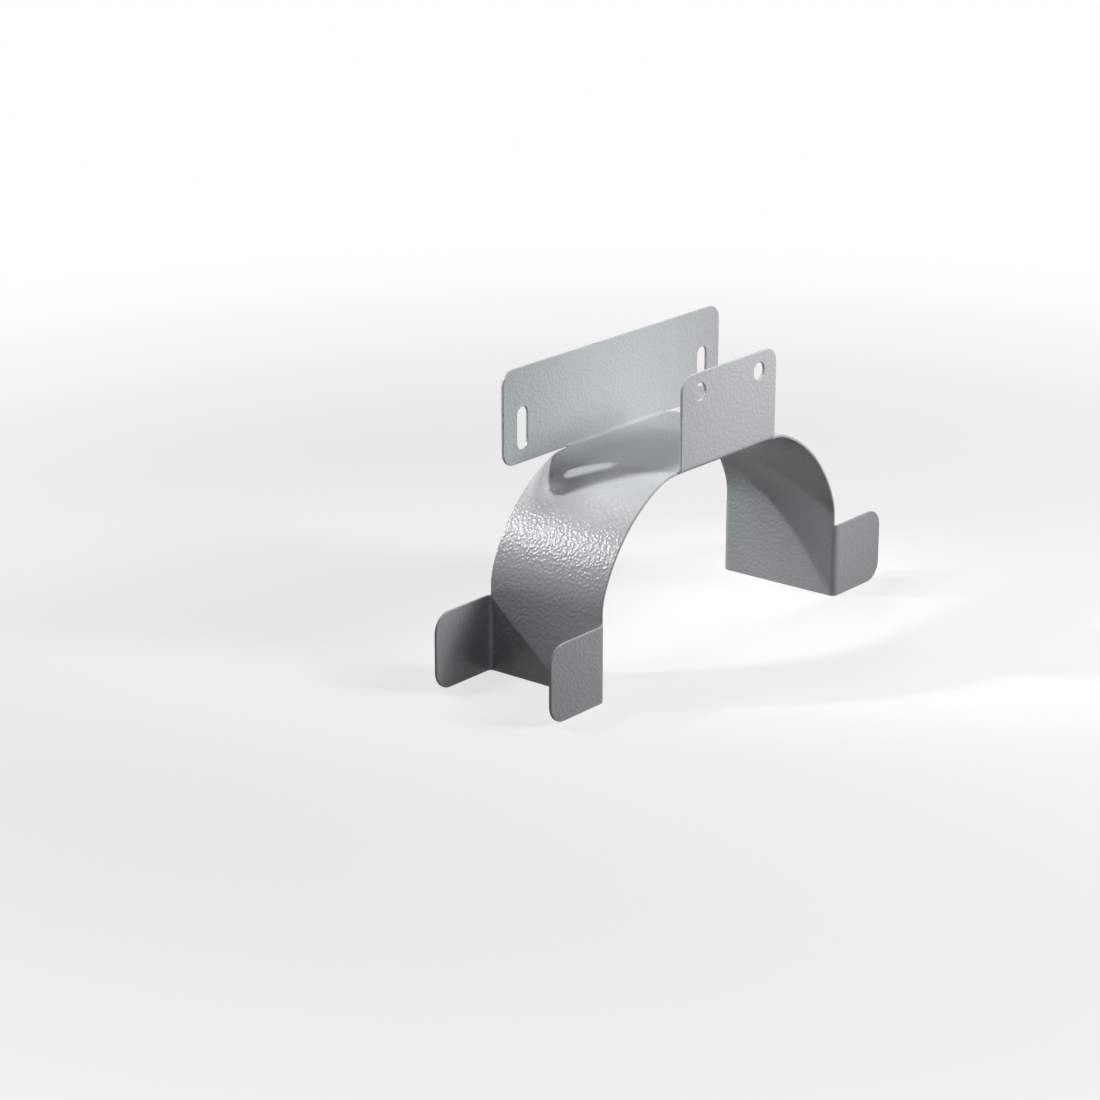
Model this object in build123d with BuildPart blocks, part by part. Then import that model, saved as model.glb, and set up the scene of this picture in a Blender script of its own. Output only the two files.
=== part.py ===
from build123d import *
from math import cos, degrees, radians, sin
import os

# Cable slack holder: one folded sheet-steel saddle for hanging spare cable in a rack.
#
# The blank is bent up at the back into a wide fixing plate and at the front into a narrower
# flange.  Between them the crown runs out into two wings that roll down to straight feet, and
# each foot has an upright lip turned outwards at the front and at the back.  Beside the end of
# every fold a strip of the sheet runs out of the bend to flat, and all cut edges are broken.
#
# Frame: millimetres, +Z up, front towards -Y, left-right symmetric about X = 0.  The origin is
# on the rear face of the fixing plate, midway between its two slots.

# Sheet
sheet = 1.5
bend_radius = 2.0
neutral_depth = 0.44
run_out = 2.0
slit = 0.3
edge_break = 0.3

# Whole holder
depth = 74.0
fold_width = 80.0
wing_span = 202.0

# Fixing plate at the back
plate_width = 180.0
plate_height = 49.5
plate_corner = 8.0
slot_spacing = 150.0
slot_length = 22.0
slot_width = 8.0
slot_rise = 18.0

# Flange at the front
flange_height = 48.5
flange_corner = 8.0
hole_spacing = 50.0
hole_diameter = 9.0
hole_below_top = 10.0

# Roll of each wing, from the crown down to the foot, and the straight rim left below it
shoulder_radius = 33.0
shoulder_angle = 22.5
straight_rim = 2.0

# Lips at the feet
lip_reach = 41.0
lip_height = 40.0
lip_corner = 10.0

# Levels and stations worked out from the sizes above
crown_top = -slot_rise
half_fold = fold_width / 2
half_crown = half_fold + run_out
half_span = wing_span / 2
roll = half_span - half_crown
lip_top = crown_top - roll - straight_rim - run_out
foot_level = lip_top - lip_height
outer_bend = bend_radius + sheet
bend_front = outer_bend - depth
neutral_radius = bend_radius + neutral_depth * sheet
rim_setback = sheet + slit
rim_reach = outer_bend - rim_setback

# Middle of a bend's turn and of its sheet, as far inwards as outwards from the bend's centre
mid_bend = (bend_radius + sheet / 2) * sin(radians(45))

# The flank arc joins the two shoulder arcs, so that the roll is as deep as it is wide
turn = radians(shoulder_angle)
flank_angle = 90.0 - 2 * shoulder_angle
shoulder_reach = shoulder_radius * (1 + sin(turn) - cos(turn))
flank_radius = (roll - shoulder_reach) / (cos(turn) - sin(turn))


def bend_section(centre, start_angle, swing=90.0):
    """Section of sheet going round one bend, as a flat face."""
    with BuildSketch() as section:
        with BuildLine():
            inside = CenterArc(centre, bend_radius, start_angle, swing)
            outside = CenterArc(centre, outer_bend, start_angle, swing)
            Line(inside @ 0, outside @ 0)
            Line(inside @ 1, outside @ 1)
        make_face()
    return section.sketch


def bend_run_out(reach):
    """Strip beside the end of a fold, in which the sheet comes out of the bend to flat along +X.

    It is rooted on the X axis and reaches out along Y, and the fold turns to +Z.
    """
    with BuildPart() as strip:
        with BuildSketch(Plane.YZ):
            add(bend_section((0, bend_radius), 270, degrees(reach / neutral_radius)))
        with BuildSketch(Plane.YZ.offset(run_out)):
            with Locations((reach / 2, -sheet / 2)):
                Rectangle(abs(reach), sheet)
        loft(ruled=True)
    return strip.part


def sharp_edges(body):
    """Edges at which two faces of a body meet at a corner, longest first."""
    faces_at = {}
    for face in body.faces():
        for edge in face.edges():
            faces_at.setdefault(edge, []).append(face)
    found = ShapeList()
    for edge, faces in faces_at.items():
        directions = [face.normal_at(edge @ 0.5) for face in faces]
        if directions[0].get_angle(directions[-1]) > 45:
            found.append(edge)
    return found.sort_by(SortBy.LENGTH, reverse=True)


# Section of the saddle's right half: flat crown, rolled wing, straight foot
with BuildSketch(Plane.XZ) as saddle_section:
    with BuildLine():
        crown = Line((0, crown_top), (half_crown, crown_top))
        upper_shoulder = JernArc(crown @ 1, crown % 1, shoulder_radius, -shoulder_angle)
        flank = JernArc(upper_shoulder @ 1, upper_shoulder % 1, flank_radius, -flank_angle)
        lower_shoulder = JernArc(flank @ 1, flank % 1, shoulder_radius, -shoulder_angle)
        Line(lower_shoulder @ 1, (half_span, foot_level))
        offset(amount=sheet, side=Side.RIGHT)
    make_face()

# Only the wing, from beside the crown to above the lips, reaches past the bends to a free rim
with BuildSketch(Plane.XZ) as rim_section:
    add(saddle_section.sketch_local)
    with Locations((half_crown, crown_top)):
        Rectangle(
            half_span, crown_top - lip_top - run_out, align=(Align.MIN, Align.MAX), mode=Mode.INTERSECT
        )

# Right half of the fixing plate, with its bend and the ear that stands free beyond it
with BuildPart() as fixing_plate:
    with BuildSketch(Plane.XZ) as plate_outline:
        with Locations((0, crown_top)):
            Rectangle(plate_width / 2, plate_height, align=(Align.MIN, Align.MIN))
        fillet(plate_outline.vertices().group_by(Axis.X)[-1], plate_corner)
        with Locations((0, crown_top)):
            Rectangle(half_crown, bend_radius, align=(Align.MIN, Align.MIN), mode=Mode.SUBTRACT)
        with Locations((slot_spacing / 2, 0)):
            SlotOverall(slot_length, slot_width, rotation=90, mode=Mode.SUBTRACT)
    extrude(amount=sheet)
    with BuildSketch(Plane.YZ):
        add(bend_section((-outer_bend, crown_top + bend_radius), 270))
    extrude(amount=half_fold)
    with Locations((half_fold, -outer_bend, crown_top)):
        add(bend_run_out(rim_reach))
    ear_root = (half_fold, -sheet, crown_top + bend_radius)
    with Locations(Plane(ear_root, x_dir=(1, 0, 0), z_dir=(0, -1, 0))):
        add(bend_run_out(-bend_radius))

# Right half of the front flange, with one of its two round holes
with BuildPart() as front_flange:
    with BuildSketch(Plane.XZ.offset(depth - sheet)) as flange_outline:
        with Locations((0, crown_top + bend_radius)):
            Rectangle(half_fold, flange_height - bend_radius, align=(Align.MIN, Align.MIN))
        fillet(flange_outline.vertices().group_by(Axis.Y)[-1].sort_by(Axis.X)[-1], flange_corner)
        with Locations((hole_spacing / 2, crown_top + flange_height - hole_below_top)):
            Circle(hole_diameter / 2, mode=Mode.SUBTRACT)
    extrude(amount=sheet)
    with BuildSketch(Plane.YZ):
        add(bend_section((bend_front, crown_top + bend_radius), 180))
    extrude(amount=half_fold)
    with Locations((half_fold, bend_front, crown_top)):
        add(bend_run_out(-rim_reach))

# Two lips of the right foot, each a rounded tab beyond its bend
with BuildPart() as lips:
    for face in (0.0, depth - sheet):
        with BuildSketch(Plane.XZ.offset(face)):
            with BuildLine():
                root = (half_span + bend_radius, lip_top)
                top = (half_span + lip_reach, lip_top)
                toe = (half_span + lip_reach, foot_level)
                heel = (half_span + bend_radius, foot_level)
                FilletPolyline(root, top, toe, heel, radius=lip_corner)
                Line(heel, root)
            make_face()
        extrude(amount=sheet)
    with BuildSketch(Plane.XY.offset(foot_level)):
        add(bend_section((half_span + bend_radius, -outer_bend), 90))
        add(bend_section((half_span + bend_radius, bend_front), 180))
    extrude(amount=lip_height)
    for station, reach in ((-outer_bend, -rim_reach), (bend_front, rim_reach)):
        with Locations(Plane((half_span, station, lip_top), x_dir=(0, 0, 1), z_dir=(1, 0, 0))):
            add(bend_run_out(reach))

# Right half of the holder: the saddle between its bends, the wing out to its rims, and the folds
with BuildPart() as right_half:
    with BuildSketch(Plane.XZ.offset(outer_bend)):
        add(saddle_section.sketch_local)
    extrude(amount=depth - 2 * outer_bend)
    with BuildSketch(Plane.XZ.offset(rim_setback)):
        add(rim_section.sketch_local)
    extrude(amount=depth - 2 * rim_setback)
    add(fixing_plate.part)
    add(front_flange.part)
    add(lips.part)

    # Every cut edge is broken but the joint of the halves and the inside of the slit's blunt end
    joint = right_half.edges().group_by(Axis.X)[0]
    slit_end = (half_fold, mid_bend - outer_bend, crown_top + bend_radius - mid_bend)
    left_square = joint + right_half.edges().sort_by_distance(slit_end)[:2]
    chamfer([edge for edge in sharp_edges(right_half.part) if edge not in left_square], edge_break)

with BuildPart() as holder:
    add(right_half.part)
    mirror(about=Plane.YZ)

holder.part.label = "holder"

os.makedirs("parts", exist_ok=True)
export_step(holder.part, "parts/holder.step")
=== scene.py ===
import math

import bpy
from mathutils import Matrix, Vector


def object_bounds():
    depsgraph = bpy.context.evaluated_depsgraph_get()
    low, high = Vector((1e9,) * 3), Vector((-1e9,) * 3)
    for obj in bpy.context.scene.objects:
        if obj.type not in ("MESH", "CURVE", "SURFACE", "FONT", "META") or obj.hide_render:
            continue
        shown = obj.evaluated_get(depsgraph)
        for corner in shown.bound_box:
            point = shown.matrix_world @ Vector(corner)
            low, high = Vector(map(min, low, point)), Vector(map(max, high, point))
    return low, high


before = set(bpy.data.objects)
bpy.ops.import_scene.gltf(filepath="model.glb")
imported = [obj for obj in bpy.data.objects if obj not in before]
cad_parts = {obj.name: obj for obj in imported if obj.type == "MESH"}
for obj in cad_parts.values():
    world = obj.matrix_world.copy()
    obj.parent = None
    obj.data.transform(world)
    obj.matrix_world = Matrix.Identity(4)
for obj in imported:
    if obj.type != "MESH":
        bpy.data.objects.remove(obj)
cad_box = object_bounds()

# Folded holder
# One blank of 1.5 mm steel sheet, bent up into the back plate, the front flange and the lips, and rolled
# down into the wings.  It is degreased and then coated all over with light grey textured powder.
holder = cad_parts["holder"]


def value_node(tree, kind, place, **settings):
    """Add one node to a tree, at a place on its sheet, with its settings."""
    node = tree.nodes.new(kind)
    node.location = place
    for name, setting in settings.items():
        setattr(node, name, setting)
    return node


def powder_texture_group():
    """The skin of a textured powder: rounded beads with creases between, and a fine orange peel."""
    tree = bpy.data.node_groups.new("Powder texture", "ShaderNodeTree")
    interface = tree.interface
    interface.new_socket("Bead size", in_out="INPUT", socket_type="NodeSocketFloat")
    interface.new_socket("Bead height", in_out="INPUT", socket_type="NodeSocketFloat")
    interface.new_socket("Height", in_out="OUTPUT", socket_type="NodeSocketFloat")
    interface.new_socket("Crease", in_out="OUTPUT", socket_type="NodeSocketFloat")
    given = value_node(tree, "NodeGroupInput", (-1100, 0))
    result = value_node(tree, "NodeGroupOutput", (700, 0))
    place = value_node(tree, "ShaderNodeTexCoord", (-1100, 300))
    scale = value_node(tree, "ShaderNodeMath", (-900, 0), operation="DIVIDE")
    scale.inputs[0].default_value = 1.0
    tree.links.new(given.outputs["Bead size"], scale.inputs[1])
    drift = value_node(tree, "ShaderNodeTexNoise", (-900, 300))
    drift.inputs["Scale"].default_value = 420.0
    drift.inputs["Detail"].default_value = 1.0
    tree.links.new(place.outputs["Object"], drift.inputs["Vector"])
    shifted = value_node(tree, "ShaderNodeVectorMath", (-700, 300), operation="MULTIPLY_ADD")
    bead_drift = 0.0011
    shifted.inputs[1].default_value = (bead_drift, bead_drift, bead_drift)
    tree.links.new(drift.outputs["Color"], shifted.inputs[0])
    tree.links.new(place.outputs["Object"], shifted.inputs[2])
    beads = value_node(tree, "ShaderNodeTexVoronoi", (-500, 200), feature="SMOOTH_F1")
    beads.inputs["Smoothness"].default_value = 0.35
    beads.inputs["Randomness"].default_value = 1.0
    tree.links.new(shifted.outputs["Vector"], beads.inputs["Vector"])
    tree.links.new(scale.outputs["Value"], beads.inputs["Scale"])
    domes = value_node(tree, "ShaderNodeMapRange", (-300, 200), interpolation_type="SMOOTHSTEP")
    domes.inputs["From Min"].default_value = 0.75
    domes.inputs["From Max"].default_value = 0.1
    tree.links.new(beads.outputs["Distance"], domes.inputs["Value"])
    peel = value_node(tree, "ShaderNodeTexNoise", (-500, -200))
    peel.inputs["Scale"].default_value = 1500.0
    peel.inputs["Detail"].default_value = 2.0
    tree.links.new(place.outputs["Object"], peel.inputs["Vector"])
    mixed = value_node(tree, "ShaderNodeMath", (-100, 0), operation="MULTIPLY_ADD")
    peel_share = 0.3
    mixed.inputs[1].default_value = peel_share
    tree.links.new(peel.outputs["Fac"], mixed.inputs[0])
    tree.links.new(domes.outputs["Result"], mixed.inputs[2])
    lifted = value_node(tree, "ShaderNodeMath", (200, 0), operation="MULTIPLY")
    tree.links.new(mixed.outputs["Value"], lifted.inputs[0])
    tree.links.new(given.outputs["Bead height"], lifted.inputs[1])
    tree.links.new(lifted.outputs["Value"], result.inputs["Height"])
    tree.links.new(beads.outputs["Distance"], result.inputs["Crease"])
    return tree


def powder_coat():
    """Light grey, finely textured, semi-gloss powder coat."""
    material = bpy.data.materials.new("powder_coat")
    material.use_nodes = True
    tree = material.node_tree
    shader = tree.nodes["Principled BSDF"]
    texture = value_node(tree, "ShaderNodeGroup", (-700, 0), node_tree=powder_texture_group())
    texture.inputs["Bead size"].default_value = 0.0018
    texture.inputs["Bead height"].default_value = 0.00011
    # Painted shade: the base colour is darker in the creases between the beads.
    shade = value_node(tree, "ShaderNodeMix", (-400, 300), data_type="RGBA")
    shade.inputs["A"].default_value = (0.572, 0.602, 0.612, 1.0)
    shade.inputs["B"].default_value = (0.522, 0.550, 0.560, 1.0)
    tree.links.new(texture.outputs["Crease"], shade.inputs["Factor"])
    tree.links.new(shade.outputs["Result"], shader.inputs["Base Color"])
    gloss = value_node(tree, "ShaderNodeMapRange", (-400, 0))
    gloss.inputs["To Min"].default_value = 0.25
    gloss.inputs["To Max"].default_value = 0.36
    tree.links.new(texture.outputs["Crease"], gloss.inputs["Value"])
    tree.links.new(gloss.outputs["Result"], shader.inputs["Roughness"])
    bump = value_node(tree, "ShaderNodeBump", (-300, -300))
    bump.inputs["Strength"].default_value = 1.0
    bump.inputs["Distance"].default_value = 1.0
    tree.links.new(texture.outputs["Height"], bump.inputs["Height"])
    tree.links.new(bump.outputs["Normal"], shader.inputs["Normal"])
    return material


coat = powder_coat()
for index in range(len(holder.data.materials)):
    holder.data.materials[index] = coat

# Floor
# A wide pale sheet that the holder stands on.  Seen straight or mirrored it is nearly white, and it
# keeps the holder's shadow; the light that it throws back on the holder is weak.
floor_level = cad_box[0][2]
floor_half = 8.0
floor_mesh = bpy.data.meshes.new("floor")
corner_signs = ((-1, -1), (1, -1), (1, 1), (-1, 1))
corners = [(x * floor_half, y * floor_half, floor_level) for x, y in corner_signs]
floor_mesh.from_pydata(corners, [], [(0, 1, 2, 3)])
floor = bpy.data.objects.new("floor", floor_mesh)
bpy.context.scene.collection.objects.link(floor)


def seen_ray(tree):
    """One for the rays that show a surface to the camera, straight, mirrored or through glass."""
    rays = value_node(tree, "ShaderNodeLightPath", (-1100, 0))
    mirrored = value_node(tree, "ShaderNodeMath", (-900, 0), operation="ADD")
    tree.links.new(rays.outputs["Is Camera Ray"], mirrored.inputs[0])
    tree.links.new(rays.outputs["Is Glossy Ray"], mirrored.inputs[1])
    seen = value_node(tree, "ShaderNodeMath", (-700, 0), operation="ADD", use_clamp=True)
    tree.links.new(mirrored.outputs["Value"], seen.inputs[0])
    tree.links.new(rays.outputs["Is Transmission Ray"], seen.inputs[1])
    return seen.outputs["Value"]


def white_paper():
    """Matt white paper, lit near the holder and plain white further off."""
    material = bpy.data.materials.new("white_paper")
    material.use_nodes = True
    tree = material.node_tree
    shader = tree.nodes["Principled BSDF"]
    shader.inputs["Roughness"].default_value = 0.9
    shader.inputs["Specular IOR Level"].default_value = 0.0
    seen = seen_ray(tree)
    place = value_node(tree, "ShaderNodeTexCoord", (-1100, 300))
    away = value_node(tree, "ShaderNodeVectorMath", (-900, 300), operation="LENGTH")
    tree.links.new(place.outputs["Object"], away.inputs[0])
    lit = value_node(tree, "ShaderNodeMapRange", (-700, 300), interpolation_type="SMOOTHSTEP")
    lit.inputs["From Min"].default_value = 0.3
    lit.inputs["From Max"].default_value = 0.9
    lit.inputs["To Min"].default_value = 0.35
    lit.inputs["To Max"].default_value = 0.0
    tree.links.new(away.outputs["Value"], lit.inputs["Value"])
    shade = value_node(tree, "ShaderNodeMix", (-400, 300), data_type="FLOAT")
    shade.inputs["A"].default_value = 0.12
    tree.links.new(seen, shade.inputs["Factor"])
    tree.links.new(lit.outputs["Result"], shade.inputs["B"])
    tree.links.new(shade.outputs["Result"], shader.inputs["Base Color"])
    rest = value_node(tree, "ShaderNodeMath", (-500, 100), operation="MULTIPLY_ADD")
    tree.links.new(lit.outputs["Result"], rest.inputs[0])
    lit_cut = 0.85
    full_glow = 1.0
    rest.inputs[1].default_value = -lit_cut
    rest.inputs[2].default_value = full_glow
    glow = value_node(tree, "ShaderNodeMath", (-300, 100), operation="MULTIPLY")
    tree.links.new(rest.outputs["Value"], glow.inputs[0])
    tree.links.new(seen, glow.inputs[1])
    shader.inputs["Emission Color"].default_value = (1.0, 1.0, 1.0, 1.0)
    tree.links.new(glow.outputs["Value"], shader.inputs["Emission Strength"])
    return material


floor_mesh.materials.append(white_paper())

# Light
# A narrow beam from far behind on the left throws the back plate's shadow over the crown and the light
# of its slot on the shoulder.  Two more beams pick out the right wing's inside and the upright faces,
# and two soft lamps, high behind and near the front on the right, fill in the rest.


def aim(name, lamp, place, target, power):
    """Put a lamp at a place, turned to face a target."""
    lamp.energy = power
    stand = bpy.data.objects.new(name, lamp)
    stand.location = place
    stand.rotation_euler = (Vector(target) - Vector(place)).to_track_quat("-Z", "Y").to_euler()
    bpy.context.scene.collection.objects.link(stand)


def soft_box(name, place, target, size, power):
    """A square soft lamp."""
    lamp = bpy.data.lights.new(name, "AREA")
    lamp.shape = "SQUARE"
    lamp.size = size
    aim(name, lamp, place, target, power)


def beam(name, place, target, radius, angle, fade, power):
    """A round lamp with a narrow beam that fades towards its edge."""
    lamp = bpy.data.lights.new(name, "SPOT")
    lamp.shadow_soft_size = radius
    lamp.spot_size = math.radians(angle)
    lamp.spot_blend = fade
    aim(name, lamp, place, target, power)


shoulder = (-0.03, -0.047, -0.024)
right_foot = (0.1, -0.005, -0.105)
upright_faces = (0.0, -0.03, 0.015)
middle = (0.0, -0.037, -0.045)
beam("slot_beam", (-0.827, 1.053, 0.826), shoulder, radius=0.06, angle=7.2, fade=0.7, power=92.0)
beam("wing_beam", (-0.617, 0.790, 1.084), right_foot, radius=0.06, angle=5.0, fade=1.0, power=100.0)
beam("face_beam", (0.33, -0.68, 0.40), upright_faces, radius=0.12, angle=22.0, fade=1.0, power=19.0)
soft_box("high_light", (-0.27, 0.71, 1.34), middle, size=0.4, power=5.0)
soft_box("front_light", (0.22, -0.43, 0.36), middle, size=0.25, power=1.7)

world = bpy.data.worlds.new("studio")
bpy.context.scene.world = world
world.use_nodes = True
background = world.node_tree.nodes["Background"]
background.inputs["Color"].default_value = (1.0, 1.0, 1.0, 1.0)
level = value_node(world.node_tree, "ShaderNodeMix", (-200, 0), data_type="FLOAT")
level.inputs["A"].default_value = 0.02
level.inputs["B"].default_value = 1.0
world.node_tree.links.new(seen_ray(world.node_tree), level.inputs["Factor"])
world.node_tree.links.new(level.outputs["Result"], background.inputs["Strength"])

# Camera
# A plain camera with a long lens, to the left of the holder, a little above it and far off.
# Its place, angles and lens are fitted to the holder's corners, with the holder's sizes held.
photo_width = 1100.0
focal_pixels = 3079.86
film_width = 36.0
camera_data = bpy.data.cameras.new("camera")
camera_data.sensor_width = film_width
camera_data.lens = focal_pixels / photo_width * film_width
camera = bpy.data.objects.new("camera", camera_data)
azimuth, elevation = math.radians(50.92), math.radians(18.59)
level_part = math.cos(elevation)
forward = Vector((level_part * math.sin(azimuth), level_part * math.cos(azimuth), -math.sin(elevation)))
camera.location = (-1.2090, -0.9399, 0.4309)
camera.rotation_euler = forward.to_track_quat("-Z", "Y").to_euler()
bpy.context.scene.collection.objects.link(camera)
bpy.context.scene.camera = camera
bpy.context.scene.view_settings.view_transform = "Standard"
